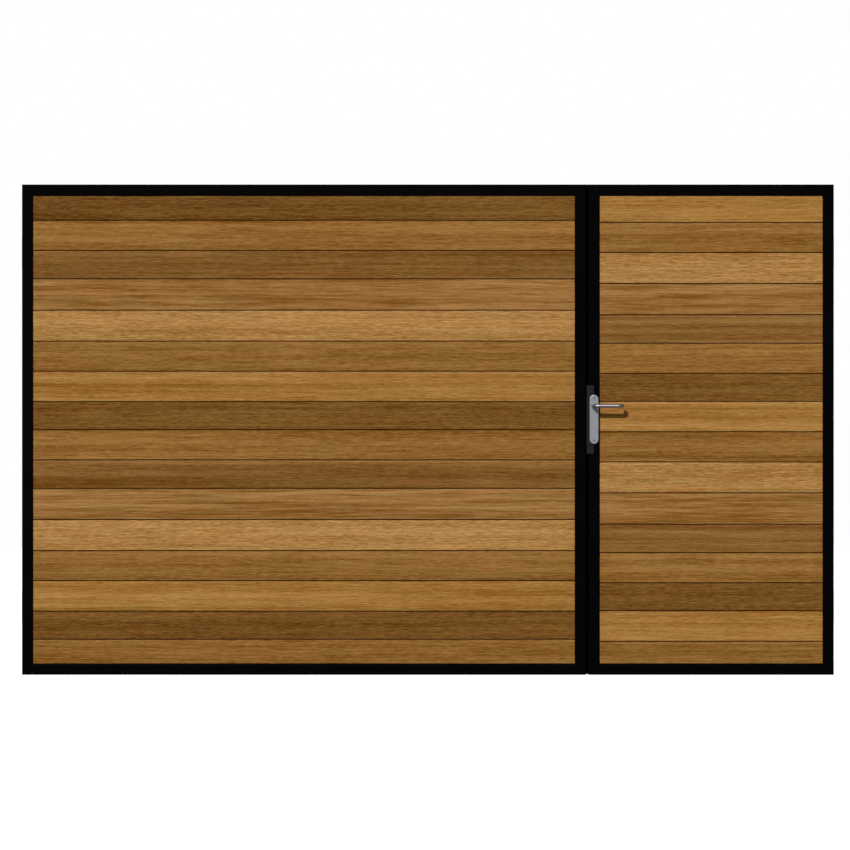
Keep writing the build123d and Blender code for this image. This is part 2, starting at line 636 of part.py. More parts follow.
with BuildPart() as keep:
    with BuildSketch(Plane.YZ.offset(WIDE_RIGHT - TUBE_WALL)):
        with Locations((LEAF_Y, BOLT_MIDDLE_Z)):
            Rectangle(*KEEP_SIZE)
            Rectangle(*KEEP_SLOT, mode=Mode.SUBTRACT)
    extrude(amount=-KEEP_THICKNESS)
save(less(keep.part, keep_screws), "keep_plate")
save(socketed(keep_screws, keep_face, keep_points), "keep_screws")

trunnion_bore = plain_holes(
    across(LEAF_Y), [(SPINDLE_X, SPINDLE_Z)], TRUNNION_RADIUS + RUNNING_GAP, CASE_SIZE[1]
)
bolt_way = slot_cutter(CASE_LEFT, *bolt_hole, BOLT_MIDDLE_Z, CASE_WALL + CUTTER_ROOM)
case_low_y = LEAF_Y - CASE_SIZE[1] / 2
case_high_y = LEAF_Y + CASE_SIZE[1] / 2
with BuildPart() as case:
    with BuildSketch(across(case_high_y - CASE_WALL)):
        with Locations((CASE_MIDDLE_X, CASE_Z)):
            Rectangle(CASE_SIZE[0], CASE_SIZE[2])
    extrude(amount=CASE_SIZE[1] - CASE_WALL)
    with BuildSketch(across(case_high_y - CASE_WALL)):
        with Locations((CASE_MIDDLE_X, CASE_Z)):
            Rectangle(CASE_SIZE[0] - 2 * CASE_WALL, CASE_SIZE[2] - 2 * CASE_WALL)
    extrude(amount=CASE_SIZE[1] - 2 * CASE_WALL, mode=Mode.SUBTRACT)
save(less(case.part, trunnion_bore, bolt_way), "lock_case")

with BuildPart() as case_lid:
    with BuildSketch(across(case_high_y)):
        with Locations((CASE_MIDDLE_X, CASE_Z)):
            Rectangle(CASE_SIZE[0], CASE_SIZE[2])
    extrude(amount=CASE_WALL)
save(less(case_lid.part, trunnion_bore), "lock_case_lid")

with BuildPart() as follower:
    with BuildSketch(across(LEAF_Y)):
        with Locations((SPINDLE_X, SPINDLE_Z)):
            Circle(TRUNNION_RADIUS)
    extrude(amount=CASE_SIZE[1] / 2, both=True)
    with BuildSketch(across(LEAF_Y)):
        with Locations((SPINDLE_X, SPINDLE_Z)):
            Circle(HUB_RADIUS)
    extrude(amount=CASE_SIZE[1] / 2 - CASE_WALL - HUB_SIDE_GAP, both=True)
    with BuildSketch(across(LEAF_Y)):
        with Locations((SPINDLE_X, SPINDLE_Z)):
            Rectangle(*FOLLOWER_ARM, rotation=FOLLOWER_LEAN, align=(Align.CENTER, Align.MIN))
    extrude(amount=FOLLOWER_ARM[0] / 2, both=True)
    with BuildSketch(across(LEAF_Y)):
        with Locations((SPINDLE_X, SPINDLE_Z)):
            Rectangle(SPINDLE_SIZE, SPINDLE_SIZE)
    extrude(amount=CASE_SIZE[1], both=True, mode=Mode.SUBTRACT)
save(follower.part, "follower")

bolt_tip_x = NARROW_LEFT - FOREND_THICKNESS - BOLT_THROW
head_back_x = SPINDLE_X + BOLT_HEAD_BACK
hook_x = (SPINDLE_X + BOLT_HOOK[0], SPINDLE_X + BOLT_HOOK[1])
with BuildPart() as latch_bolt:
    with BuildSketch(across(LEAF_Y)):
        with BuildLine():
            Polyline(
                (bolt_tip_x, SPINDLE_Z + BOLT_LOW),
                (head_back_x, SPINDLE_Z + BOLT_LOW),
                (head_back_x, SPINDLE_Z + BOLT_TAIL_LOW),
                (hook_x[0], SPINDLE_Z + BOLT_TAIL_LOW),
                (hook_x[0], SPINDLE_Z + BOLT_HOOK_LOW),
                (hook_x[1], SPINDLE_Z + BOLT_HOOK_LOW),
                (hook_x[1], SPINDLE_Z + BOLT_HIGH),
                (bolt_tip_x, SPINDLE_Z + BOLT_HIGH),
                close=True,
            )
        make_face()
    extrude(amount=BOLT_WIDTH / 2, both=True)
    with BuildSketch(Plane.XY.offset(SPINDLE_Z + BOLT_LOW)):
        with BuildLine():
            Polyline(
                (bolt_tip_x, LEAF_Y + BOLT_WIDTH / 2 - BOLT_NOSE),
                (bolt_tip_x, LEAF_Y - BOLT_WIDTH / 2),
                (bolt_tip_x + BOLT_WIDTH - BOLT_NOSE, LEAF_Y - BOLT_WIDTH / 2),
                close=True,
            )
        make_face()
    extrude(amount=BOLT_HIGH - BOLT_LOW, mode=Mode.SUBTRACT)
save(latch_bolt.part, "latch_bolt")

spring_start_y = LEAF_Y + FOLLOWER_ARM[0] / 2 + SPRING_WIRE + SPRING_GAP
with BuildPart() as spring:
    with BuildLine() as coil:
        Helix(
            SPRING_PITCH,
            SPRING_PITCH * SPRING_TURNS,
            SPRING_RADIUS,
            center=(SPINDLE_X, spring_start_y, SPINDLE_Z),
            direction=(0, 1, 0),
        )
    with BuildSketch(Plane(origin=coil.line @ 0, z_dir=coil.line % 0)):
        Circle(SPRING_WIRE)
    sweep(path=coil.line, is_frenet=True)
save(spring.part, "lever_spring")


# ================================================================== handles
def handle_plate(plane):
    """A long plate with round ends, a rounded rim and a bore for the lever's spigot."""
    with BuildPart() as plate:
        with BuildSketch(plane):
            SlotOverall(HANDLE_PLATE_SIZE[1], HANDLE_PLATE_SIZE[0], rotation=90)
        extrude(amount=-HANDLE_PLATE_THICKNESS)
        fillet(plate.faces().sort_by(Axis(plane.origin, plane.z_dir))[-1].edges(), HANDLE_PLATE_EASE)
        with BuildSketch(plane):
            with Locations((0, SPINDLE_Z - PLATE_Z)):
                Circle(LEVER_SPIGOT[0] + RUNNING_GAP)
        extrude(amount=-HANDLE_PLATE_THICKNESS, mode=Mode.SUBTRACT)
    return plate.part


def lever(face_y, out):
    """A round bar handle, bent out, along and back towards the gate, on a collar and a spigot."""
    bar_y = face_y + out * LEVER_STAND_OFF
    end_x = SPINDLE_X + LEVER_REACH
    seat = Plane(origin=(SPINDLE_X, face_y, SPINDLE_Z), x_dir=(1, 0, 0), z_dir=(0, out, 0))
    with BuildPart() as handle:
        with BuildLine() as bar:
            FilletPolyline(
                (SPINDLE_X, face_y + out * LEVER_COLLAR[1] / 2, SPINDLE_Z),
                (SPINDLE_X, bar_y, SPINDLE_Z),
                (end_x, bar_y, SPINDLE_Z),
                (end_x, bar_y - out * LEVER_RETURN, SPINDLE_Z),
                radius=LEVER_BEND,
            )
        with BuildSketch(Plane(origin=bar.line @ 0, z_dir=bar.line % 0)):
            Circle(LEVER_BAR_RADIUS)
        sweep(path=bar.line)
        fillet(handle.edges().filter_by(GeomType.CIRCLE).sort_by_distance(bar.line @ 1)[0], LEVER_END_EASE)
        with BuildSketch(seat.offset(LEVER_END_GAP)):
            Circle(LEVER_COLLAR[0])
        extrude(amount=LEVER_COLLAR[1])
        rims = handle.edges().filter_by(GeomType.CIRCLE).filter_by(lambda rim: rim.radius == LEVER_COLLAR[0])
        chamfer(rims.sort_by_distance(bar.line @ 1)[0], LEVER_COLLAR_CHAMFER)
        with BuildSketch(seat.offset(-LEVER_SPIGOT[1])):
            Circle(LEVER_SPIGOT[0])
        extrude(amount=LEVER_SPIGOT[1] + LEVER_END_GAP)
        with BuildSketch(seat.offset(-LEVER_SPIGOT[1])):
            Rectangle(SPINDLE_SIZE, SPINDLE_SIZE)
        extrude(amount=LEVER_SPIGOT[1] + LEVER_SOCKET, mode=Mode.SUBTRACT)
    return handle.part


save(less(handle_plate(front_handle_plane), front_handle_screws), "front_handle_plate")
save(less(handle_plate(rear_handle_plane), rear_handle_screws), "rear_handle_plate")
save(lever(FRONT_PLATE_FACE, -1), "front_lever")
save(lever(REAR_PLATE_FACE, 1), "rear_lever")
front_sockets = socketed(front_handle_screws, front_handle_plane, handle_points)
rear_sockets = socketed(rear_handle_screws, rear_handle_plane, handle_points)
save(Compound(children=[*front_sockets.solids(), *rear_sockets.solids()]), "handle_screws")

with BuildPart() as spindle:
    with BuildSketch(across(REAR_PLATE_FACE + LEVER_SOCKET)):
        with Locations((SPINDLE_X, SPINDLE_Z)):
            Rectangle(SPINDLE_SIZE, SPINDLE_SIZE)
    extrude(amount=REAR_PLATE_FACE - FRONT_PLATE_FACE + 2 * LEVER_SOCKET)
save(spindle.part, "spindle")


# ================================================================== drop bolt
with BuildPart() as rod:
    with BuildLine() as route:
        FilletPolyline(
            (ROD_X, ROD_Y, Z_LOW),
            (ROD_X, ROD_Y, Z_LOW + ROD_LENGTH),
            (ROD_X - ROD_HANDLE, ROD_Y, Z_LOW + ROD_LENGTH),
            radius=ROD_BEND,
        )
    with BuildSketch(Plane.XY.offset(Z_LOW)):
        with Locations((ROD_X, ROD_Y)):
            Circle(ROD_RADIUS)
    sweep(path=route.line)
    chamfer(rod.edges().filter_by(GeomType.CIRCLE).sort_by_distance(route.line @ 0)[0], ROD_POINT_CHAMFER)
    fillet(rod.edges().filter_by(GeomType.CIRCLE).sort_by_distance(route.line @ 1)[0], ROD_HANDLE_EASE)
    with BuildSketch(Plane.XY.offset(COLLAR_Z)):
        with Locations((ROD_X, ROD_Y)):
            Circle(COLLAR_RADIUS)
    extrude(amount=COLLAR_HEIGHT)
save(rod.part, "drop_rod")

with BuildPart() as guides:
    for guide_z in (LOW_GUIDE_Z, HIGH_GUIDE_Z):
        with BuildSketch(Plane.XY.offset(guide_z)):
            with Locations((ROD_X, ROD_Y)):
                Rectangle(GUIDE_SIDE, GUIDE_SIDE)
                Circle(ROD_RADIUS + RUNNING_GAP, mode=Mode.SUBTRACT)
        extrude(amount=GUIDE_HEIGHT)
save(guides.part, "drop_bolt_guides")

with BuildPart() as bush:
    with BuildSketch(Plane.XY.offset(HIGH_GUIDE_Z + GUIDE_HEIGHT)):
        with Locations((ROD_X, ROD_Y)):
            Circle(BUSH_RADIUS)
            Circle(ROD_RADIUS + RUNNING_GAP, mode=Mode.SUBTRACT)
    extrude(amount=BUSH_HEIGHT)
save(bush.part, "drop_bolt_bush")
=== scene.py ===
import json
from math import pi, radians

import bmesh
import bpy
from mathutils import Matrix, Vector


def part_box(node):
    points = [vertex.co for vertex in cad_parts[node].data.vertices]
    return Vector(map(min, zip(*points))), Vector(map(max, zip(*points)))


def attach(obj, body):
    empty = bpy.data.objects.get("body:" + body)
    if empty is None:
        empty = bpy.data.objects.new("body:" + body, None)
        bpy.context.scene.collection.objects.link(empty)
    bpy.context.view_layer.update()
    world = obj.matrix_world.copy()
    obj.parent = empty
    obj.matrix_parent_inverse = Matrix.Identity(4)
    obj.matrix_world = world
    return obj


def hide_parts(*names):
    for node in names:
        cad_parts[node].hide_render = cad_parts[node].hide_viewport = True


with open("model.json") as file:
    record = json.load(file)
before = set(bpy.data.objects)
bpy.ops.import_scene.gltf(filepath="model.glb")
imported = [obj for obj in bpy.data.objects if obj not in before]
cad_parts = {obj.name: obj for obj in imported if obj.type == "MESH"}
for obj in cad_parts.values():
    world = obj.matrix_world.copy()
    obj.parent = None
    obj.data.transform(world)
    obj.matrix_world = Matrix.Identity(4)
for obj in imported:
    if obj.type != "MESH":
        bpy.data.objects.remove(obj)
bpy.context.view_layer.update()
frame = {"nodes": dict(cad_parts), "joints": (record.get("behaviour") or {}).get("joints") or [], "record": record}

# %% [markdown]
# # A double garden gate
# The gate is two welded frames of square steel tube, coated black and filled with planed hardwood boards.
# The solid parts come from the CAD model and stay where they are. This script gives each of them its
# finish, cuts the boards apart so that each one has its own wood, and adds the small things that a
# workshop leaves behind: eased edges, domed screw heads and weld beads.

MM = 0.001

# %% [markdown]
# ## Where things are
# Every place comes from the frame. The stiles tell how large each leaf is, the boards tell where the
# wood's front and rear faces are, and the joints tell where the hinge pins stand.

# %% Places read from the frame
stile_low, stile_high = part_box("wide_hinge_stile")
leaf_front, leaf_rear = stile_low.y, stile_high.y
leaf_low, leaf_high = stile_low.z, stile_high.z
gate_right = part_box("narrow_hinge_stile")[1].x
board_front, board_rear = (corner.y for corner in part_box("wide_boards_01_02"))
pin_y = next(joint["pos_m"][1] for joint in frame["joints"] if joint["name"] == "wide_swing")
gate_middle = Vector(((stile_low.x + gate_right) / 2, leaf_front, (leaf_low + leaf_high) / 2))
slot_of = {subpart["node"]: subpart["material_slot"] for subpart in frame["record"]["subparts"]}
print("gate middle:", [round(v, 3) for v in gate_middle], "hinge pins at y =", pin_y)

# %% [markdown]
# ## The camera
# A gate is drawn square-on, with no perspective to speak of. An orthographic camera would do that, but a
# long lens from far away does it too, and it also suits a walk round the object. The lens is worked out
# from the width of the view at the gate, so that lens and distance can't drift apart.

# %% Camera
VIEW_WIDTH = 3.120
CAMERA_DISTANCE = 26.0
AIM_OFFSET = Vector((-0.0106, 0.0, 0.0171))

camera_data = bpy.data.cameras.new("camera")
camera_data.lens = camera_data.sensor_width * CAMERA_DISTANCE / VIEW_WIDTH
camera_data.clip_end = 4 * CAMERA_DISTANCE
camera = bpy.data.objects.new("camera", camera_data)
camera.location = gate_middle + AIM_OFFSET - Vector((0, CAMERA_DISTANCE, 0))
camera.rotation_euler = (pi / 2, 0, 0)
bpy.context.scene.collection.objects.link(camera)
bpy.context.scene.camera = camera
print("lens:", round(camera_data.lens, 1), "mm")

# %% [markdown]
# ## Light
# One key light stands high on the left in front of the gate, like a late-morning sun, and throws the
# lever's shadow down and to the right. A softer light stands behind, so that the garden side can be looked
# at too; from in front, the gate hides it. A dim, even sky fills the shadows. The sky is a plain white
# backdrop to the eye and a softer light to the objects, which keeps black paint black. The Standard view
# keeps painted and oiled colours as they are mixed.

# %% Two suns
KEY_TOWARDS = (0.29, 0.80, -0.53)
KEY_STRENGTH = 3.0
KEY_ANGLE = radians(2.0)
BACK_TOWARDS = (-0.30, -0.75, -0.58)
BACK_STRENGTH = 2.2
BACK_ANGLE = radians(12.0)


def sun(name, towards, strength, angle):
    """A distant light that shines in one direction; a wide angle softens its shadows."""
    data = bpy.data.lights.new(name, "SUN")
    data.energy = strength
    data.angle = angle
    light = bpy.data.objects.new(name, data)
    light.rotation_mode = "QUATERNION"
    light.rotation_quaternion = Vector(towards).to_track_quat("-Z", "Y")
    bpy.context.scene.collection.objects.link(light)


sun("key_light", KEY_TOWARDS, KEY_STRENGTH, KEY_ANGLE)
sun("garden_light", BACK_TOWARDS, BACK_STRENGTH, BACK_ANGLE)
bpy.context.scene.view_settings.view_transform = "Standard"
print("key", KEY_STRENGTH, "behind", BACK_STRENGTH)

# %% Sky
SKY_LIGHT = 0.20

world = bpy.data.worlds.new("pale_sky")
bpy.context.scene.world = world
world.use_nodes = True
sky_nodes = world.node_tree.nodes
sky_links = world.node_tree.links
sky_nodes.clear()
sky_for_objects = sky_nodes.new("ShaderNodeBackground")
sky_for_objects.inputs["Strength"].default_value = SKY_LIGHT
sky_for_eye = sky_nodes.new("ShaderNodeBackground")
for sky in (sky_for_objects, sky_for_eye):
    sky.inputs["Color"].default_value = (1.0, 1.0, 1.0, 1.0)
ray = sky_nodes.new("ShaderNodeLightPath")
sky_mix = sky_nodes.new("ShaderNodeMixShader")
sky_out = sky_nodes.new("ShaderNodeOutputWorld")
sky_links.new(ray.outputs["Is Camera Ray"], sky_mix.inputs["Fac"])
sky_links.new(sky_for_objects.outputs[0], sky_mix.inputs[1])
sky_links.new(sky_for_eye.outputs[0], sky_mix.inputs[2])
sky_links.new(sky_mix.outputs[0], sky_out.inputs["Surface"])
print("sky light", SKY_LIGHT)

# %% [markdown]
# ## Writing shaders as sums
# A procedural material is arithmetic on patterns. Wiring it node by node hides the arithmetic, so one
# small class wraps a socket and lets Python's own operators add the Math nodes. `Finish` is a material
# under construction: its `node` method takes a node's type, its settings and what goes into its sockets.

# %% Sockets that add up
class Term:
    """A node's output that Python can add, subtract and multiply."""

    def __init__(self, finish, socket):
        self.finish = finish
        self.socket = socket

    def math(self, operation, first, second):
        return self.finish.node("ShaderNodeMath", {"operation": operation}, {0: first, 1: second})

    def __add__(self, other):
        return self.math("ADD", self, other)

    def __mul__(self, other):
        return self.math("MULTIPLY", self, other)

    def __sub__(self, other):
        return self.math("SUBTRACT", self, other)

    def __rsub__(self, other):
        return self.math("SUBTRACT", other, self)

    __radd__ = __add__
    __rmul__ = __mul__


class Finish:
    """A material under construction, with one Principled shader to feed."""

    def __init__(self, name, **uniform):
        self.material = bpy.data.materials.new(name)
        self.material.use_nodes = True
        self.tree = self.material.node_tree
        self.tree.nodes.clear()
        self.shader = self.tree.nodes.new("ShaderNodeBsdfPrincipled")
        output = self.tree.nodes.new("ShaderNodeOutputMaterial")
        self.tree.links.new(self.shader.outputs[0], output.inputs["Surface"])
        self.feed(self.shader, uniform)
        self.place = self.node("ShaderNodeTexCoord", output="Object")

    def feed(self, node, values):
        """Links the terms and sets the plain values of a node's sockets."""
        for key, value in values.items():
            socket = node.inputs[key.replace("_", " ") if isinstance(key, str) else key]
            if isinstance(value, Term):
                self.tree.links.new(value.socket, socket)
            elif socket.type == "RGBA" and len(value) == 3:
                socket.default_value = (*value, 1.0)
            else:
                socket.default_value = value

    def node(self, kind, settings=None, values=None, output=0):
        made = self.tree.nodes.new(kind)
        for key, value in (settings or {}).items():
            setattr(made, key, value)
        self.feed(made, values or {})
        return Term(self, made.outputs[output])

    def done(self, **links):
        self.feed(self.shader, links)
        return self.material


print("a finish is made of one Principled shader and the nodes that feed it")

# %% [markdown]
# ## Patterns
# Noise in space is the one pattern behind every finish here. Stretching it makes grain, brushing or
# bands, and a smooth step turns it into spots. It is scaled in grains to the metre along X, Y and Z, so a
# number says how fine a feature is: 1000 is a millimetre.

# %% Noise, steps and mixes
def noise(finish, grains, detail=2.0, place=None, roughness=0.55):
    """Noise about 0.5, with its own number of grains to the metre along X, Y and Z."""
    stretched = finish.node("ShaderNodeMapping", {}, {"Vector": place or finish.place, "Scale": grains})
    return finish.node(
        "ShaderNodeTexNoise",
        {"noise_dimensions": "3D"},
        {"Vector": stretched, "Scale": 1.0, "Detail": detail, "Roughness": roughness},
        output="Fac",
    )


def step(finish, value, low, high):
    """0 where value is under low, 1 where it is over high, and smooth between."""
    return finish.node(
        "ShaderNodeMapRange",
        {"interpolation_type": "SMOOTHSTEP"},
        {"Value": value, "From Min": low, "From Max": high},
    )


def mix(finish, share, first, second):
    """One colour turning into another as share goes from 0 to 1."""
    return finish.node("ShaderNodeMix", {"data_type": "RGBA"}, {0: share, 6: first, 7: second}, output=2)


def bump(finish, height, distance, strength):
    """A surface that is raised where height is large."""
    return finish.node("ShaderNodeBump", {}, {"Height": height, "Distance": distance, "Strength": strength})


def chart(*levels):
    """A colour written the way a paint chart gives it, 0 to 255, as the light it reflects."""
    return [((max(level, 0) / 255 + 0.055) / 1.055) ** 2.4 for level in levels]


print("mid grey on a chart reflects", round(chart(128)[0], 3))

# %% [markdown]
# ## Hardwood
# The boards are a golden-brown tropical hardwood, planed, oiled and laid flat. Its figure has several
# sizes: a slow drift of tone, long growth bands that wander a little, lines a few millimetres wide, short
# flecks where the interlocked fibres dip in and out, and last the streaks, fibres and pores that only a
# close look shows. Each is noise stretched along X, because the grain runs the length of the board.
# Wood varies between a deep and a pale shade of one colour, so all sizes add up to one share between the
# two. A picture of wood wrapped round a board would repeat and smear at the edges; noise in space doesn't,
# and it is different on every board.
#
# The joints are painted dark brown as shade, where the gaps between the boards would be shaded. A point that lies
# on neither the front nor the rear of a board is in a joint, and there the wood is painted a dark brown shade.

# %% Hardwood
# Painted shade in the joints: its dark brown, where it starts off the front and rear faces, and how fully it
# covers.
JOINT_SHADE_BROWN = chart(52, 17, 0)
JOINT_SHADE_EDGE = (0.03 * MM, 0.40 * MM)
JOINT_SHADE_COVER = 0.95
FIGURE_SPREAD = 26
GRAIN_WANDER = 20 * MM
DRIFT_SHARE = 0.31
STREAK_SHARE = 1.3
FIBRE_SHARE = 0.9
PORE_SHARE = 0.30
HUE_CONTRAST = 1.2
REDDER = (1.08, 0.95, 0.90)
YELLOWER = (0.93, 1.05, 1.10)


def figure(wood, along, band, line, fleck, band_grains):
    """Where the wood lies between its deep shade, 0, and its pale shade, 1."""
    drift = noise(wood, (2.6, 3.0, 9.0), 1.0)
    bands = noise(wood, (band_grains[0], 20.0, band_grains[1]), 3.0, along, 0.6)
    lines = noise(wood, (5.5, 60.0, 250.0), 2.0, along)
    flecks = noise(wood, (33.0, 60.0, 245.0), 3.0, along, 0.6)
    streaks = noise(wood, (24.0, 110.0, 560.0), 3.0, along, 0.65)
    fibres = noise(wood, (26.0, 150.0, 1700.0), 4.0, along, 0.7)
    pores = step(wood, noise(wood, (85.0, 200.0, 1150.0), 2.0, along), 0.60, 0.68)
    broad = (drift - 0.5) * DRIFT_SHARE + (bands - 0.5) * band
    middling = (lines - 0.5) * line + (flecks - 0.5) * fleck
    fine = (streaks - 0.5) * STREAK_SHARE + (fibres - 0.5) * FIBRE_SHARE - pores * PORE_SHARE
    relief = lines * 0.5 + flecks * 0.5 + fibres * 0.3 - pores * 0.6
    return 0.5 + broad + middling + fine, relief


def in_joint(wood):
    """1 on the sides of a joint, 0 on the board's front and rear."""
    place_y = wood.node("ShaderNodeSeparateXYZ", {}, {"Vector": wood.place}, output="Y")
    behind_front = step(wood, place_y - board_front, *JOINT_SHADE_EDGE)
    before_rear = step(wood, board_rear - place_y, *JOINT_SHADE_EDGE)
    return behind_front * before_rear


def hardwood(name, level, band=1.4, line=1.6, fleck=1.4, band_grains=(0.45, 36.0)):
    """One tone of the hardwood: its colour and how strong its bands, lines and flecks are."""
    wood = Finish(name, Specular_IOR_Level=0.05)
    wander = (noise(wood, (2.2, 5.0, 12.0), 3.0) - 0.5) * GRAIN_WANDER
    shift = wood.node("ShaderNodeCombineXYZ", {}, {"Z": wander})
    along = wood.node("ShaderNodeVectorMath", {"operation": "ADD"}, {0: wood.place, 1: shift})
    share, relief = figure(wood, along, band, line, fleck, band_grains)
    deep = chart(*(each - FIGURE_SPREAD for each in level))
    pale = chart(*(each + FIGURE_SPREAD for each in level))
    hue = (noise(wood, (3.0, 6.0, 48.0), 2.0, along) - 0.5) * HUE_CONTRAST + 0.5
    tint = mix(wood, hue, REDDER, YELLOWER)
    shade = mix(wood, share, deep, pale)
    tinted = wood.node("ShaderNodeVectorMath", {"operation": "MULTIPLY"}, {0: shade, 1: tint})
    return wood.done(
        # The sides of the joints are painted dark brown as shade.
        Base_Color=mix(wood, in_joint(wood) * JOINT_SHADE_COVER, tinted, JOINT_SHADE_BROWN),
        Roughness=0.58 + (hue - 0.5) * 0.08,
        Normal=bump(wood, relief, 0.3 * MM, 0.4),
    )


print("board thickness:", round((board_rear - board_front) / MM, 1), "mm")

# %% [markdown]
# A delivery of boards holds a handful of tones. The maker lays them in one order and repeats it, and turns
# the order round in the other leaf, so that no two neighbours match.

# %% Seven tones
WOOD_TONES = {
    "dark": hardwood("hardwood_dark", (113, 74, 21), 1.1, 1.3, 1.7),
    "mid": hardwood("hardwood_mid", (137, 94, 37)),
    "red": hardwood("hardwood_red", (126, 85, 34), 1.9, 1.2, 1.1),
    "striped": hardwood("hardwood_striped", (145, 101, 48), 2.0, 2.1, 0.7, (1.5, 52.0)),
    "light": hardwood("hardwood_light", (165, 120, 62), 1.2, 1.7, 2.1),
    "plain": hardwood("hardwood_plain", (135, 93, 37)),
    "gold": hardwood("hardwood_gold", (155, 110, 48), 1.6, 1.5, 1.3),
}
WIDE_ORDER = ("dark", "mid", "red", "striped", "light", "plain", "gold")
NARROW_ORDER = WIDE_ORDER[::-1]
print(len(WOOD_TONES), "tones of hardwood")

# %% [markdown]
# ## Black powder coat
# Powder is sprayed on dry and melted in an oven, which leaves a tough skin with a faint orange peel. On
# black paint that skin is all there is to see, so the finish is a near-black base, a low sheen and a fine
# bump. A weak specular level keeps it from greying in the sun.

# %% Paints
def powder_coat(name, level, roughness, sheen_level):
    """A coloured skin with a fine orange peel, a slow change of sheen and a little dust."""
    coat = Finish(name, Specular_IOR_Level=sheen_level)
    peel = noise(coat, (420.0, 420.0, 420.0))
    sheen = noise(coat, (6.0, 6.0, 6.0))
    dust = step(coat, noise(coat, (55.0, 55.0, 55.0), 4.0), 0.45, 0.80)
    return coat.done(
        Base_Color=mix(coat, dust, [level] * 3, [1.5 * level] * 3),
        Roughness=roughness + (sheen - 0.5) * 0.12,
        Normal=bump(coat, peel, 0.08 * MM, 0.25),
    )


black_coat = powder_coat("black_powder_coat", 0.0004, 0.36, 0.04)
grey_paint = powder_coat("dark_grey_paint", 0.0150, 0.50, 0.06)
print("paints:", black_coat.name, grey_paint.name)

# %% [markdown]
# ## Metals
# The handle set is satin: fine brushing runs up the plates and along the levers. Fixings are zinc plated,
# which is the same recipe with an even grain. Brushing is noise stretched along the strokes. It changes
# the colour and the roughness a little and drives a very small bump.

# %% Metals
def brushed_metal(name, colour, roughness, strokes):
    """A metal with brush strokes: strokes gives their number to the metre along X, Y and Z."""
    metal = Finish(name, Metallic=1.0)
    lines = noise(metal, strokes, 3.0)
    cloud = noise(metal, (30.0, 30.0, 30.0))
    darker = [0.80 * each for each in colour]
    return metal.done(
        Base_Color=mix(metal, lines * 0.7 + cloud * 0.5, colour, darker),
        Roughness=roughness + (lines - 0.5) * 0.14,
        Normal=bump(metal, lines, 0.02 * MM, 0.3),
    )


plate_metal = brushed_metal("satin_plate_metal", (0.395, 0.41, 0.44), 0.46, (900.0, 900.0, 40.0))
lever_metal = brushed_metal("satin_lever_metal", (0.37, 0.37, 0.41), 0.43, (30.0, 900.0, 900.0))
screw_metal = brushed_metal("dull_screw_steel", (0.27, 0.27, 0.29), 0.45, (300.0, 300.0, 300.0))
stainless = brushed_metal("brushed_stainless", (0.55, 0.55, 0.55), 0.38, (700.0, 700.0, 30.0))
zinc = brushed_metal("zinc_plate", (0.50, 0.52, 0.55), 0.40, (160.0, 160.0, 160.0))
bronze = brushed_metal("bronze", (0.46, 0.29, 0.13), 0.36, (200.0, 200.0, 200.0))
spring_steel = brushed_metal("spring_steel", (0.20, 0.20, 0.21), 0.34, (500.0, 500.0, 500.0))
metals = (plate_metal, lever_metal, screw_metal, stainless, zinc, bronze, spring_steel)
print("metals:", *(metal.name for metal in metals))

# %% [markdown]
# ## Black nylon
# The friction bush of the drop bolt is moulded, so its matt skin copies the fine grain of its mould.

# %% Nylon
nylon_finish = Finish("black_nylon", Specular_IOR_Level=0.3)
mould_grain = noise(nylon_finish, (900.0, 900.0, 900.0))
wear = noise(nylon_finish, (70.0, 70.0, 70.0), 3.0)
nylon = nylon_finish.done(
    Base_Color=mix(nylon_finish, wear, (0.010, 0.010, 0.010), (0.016, 0.016, 0.016)),
    Roughness=0.55 + (wear - 0.5) * 0.15,
    Normal=bump(nylon_finish, mould_grain, 0.05 * MM, 0.3),
)
print("moulded:", nylon.name)

# %% [markdown]
# ## Finishes for the CAD parts
# A part that already has the right shape only needs its finish. The record says which slot each node takes. The
# levers and the plate's screws are polished differently from the plate, so they are named one by one.

# %% Giving the CAD parts their finish
SLOT_FINISHES = {
    "black_powder_coat": black_coat,
    "hardwood": WOOD_TONES["mid"],
    "satin_metal": plate_metal,
    "stainless_steel": stainless,
    "zinc_plated_steel": zinc,
    "dark_grey_steel": grey_paint,
    "bronze": bronze,
    "spring_steel": spring_steel,
    "black_nylon": nylon,
}
NODE_FINISHES = {"front_lever": lever_metal, "rear_lever": lever_metal, "handle_screws": screw_metal}

for name, node in frame["nodes"].items():
    finish = NODE_FINISHES.get(name, SLOT_FINISHES[slot_of[name]])
    if not node.material_slots:
        node.data.materials.append(finish)
    for material_slot in node.material_slots:
        material_slot.material = finish
print(len(frame["nodes"]), "CAD nodes finished")

# %% [markdown]
# ## Working on a part's own shape
# A CAD node arrives as loose triangles. Merging their corners and dissolving the edges inside flat faces
# gives back the faces a maker would know, such as a board's front or a screw's end. The work is done on
# the copy, and the copy takes the node's place.

# %% Copies, islands and finished pieces
MERGE_DISTANCE = 0.001 * MM
FLAT_ANGLE = radians(0.5)
SMOOTH_ANGLE = radians(35)


def merged_copy(node):
    """A CAD node's triangles as one joined mesh, with flat faces made whole."""
    mesh = bmesh.new()
    mesh.from_mesh(frame["nodes"][node].data)
    bmesh.ops.remove_doubles(mesh, verts=mesh.verts, dist=MERGE_DISTANCE)
    bmesh.ops.dissolve_limit(mesh, angle_limit=FLAT_ANGLE, verts=mesh.verts, edges=mesh.edges)
    return mesh


def islands(mesh):
    """Groups of vertices that edges join, the highest group first."""
    groups = []
    seen = set()
    for start in mesh.verts:
        if start in seen:
            continue
        group = {start}
        queue = [start]
        while queue:
            near = {vertex for edge in queue.pop().link_edges for vertex in edge.verts} - group
            group |= near
            queue.extend(near)
        seen |= group
        groups.append(group)
    return sorted(groups, key=lambda group: -max(vertex.co.z for vertex in group))


